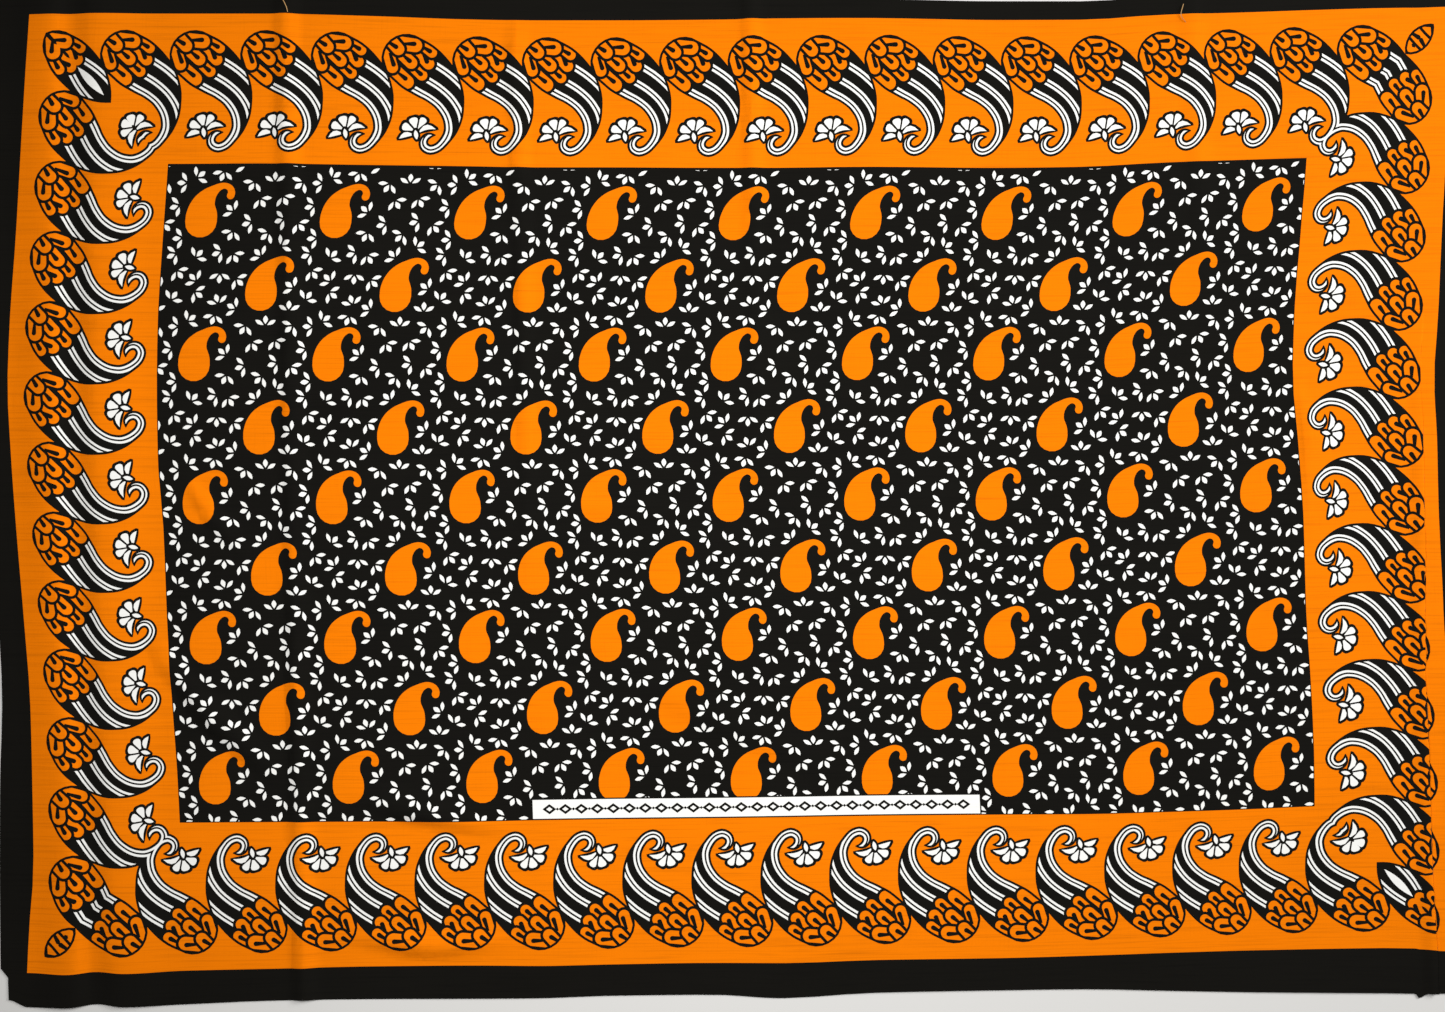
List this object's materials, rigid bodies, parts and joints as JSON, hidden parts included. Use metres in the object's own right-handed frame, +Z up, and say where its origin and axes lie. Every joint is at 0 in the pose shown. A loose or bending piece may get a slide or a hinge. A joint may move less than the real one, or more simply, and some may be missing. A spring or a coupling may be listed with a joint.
{
  "type": "kanga wrap cloth",
  "caption": "Printed cotton kanga wrap cloth laid out flat, with a wide paisley border, a dark field of paisleys and leaf sprigs, and soft packing creases.",
  "frame": {"origin": "middle of the laid cloth's box, on the surface that it lies on", "axes": "+X along the cloth's long side, +Y towards the top of the print, +Z up out of the printed face"},
  "size_m": [1.503, 1.0187, 0.0065],
  "materials": {
    "printed_cotton": "matt plain-weave cotton, printed orange, black and white"
  },
  "bodies": {
    "root": {"kanga_panel": "printed_cotton"}
  },
  "joints": []
}
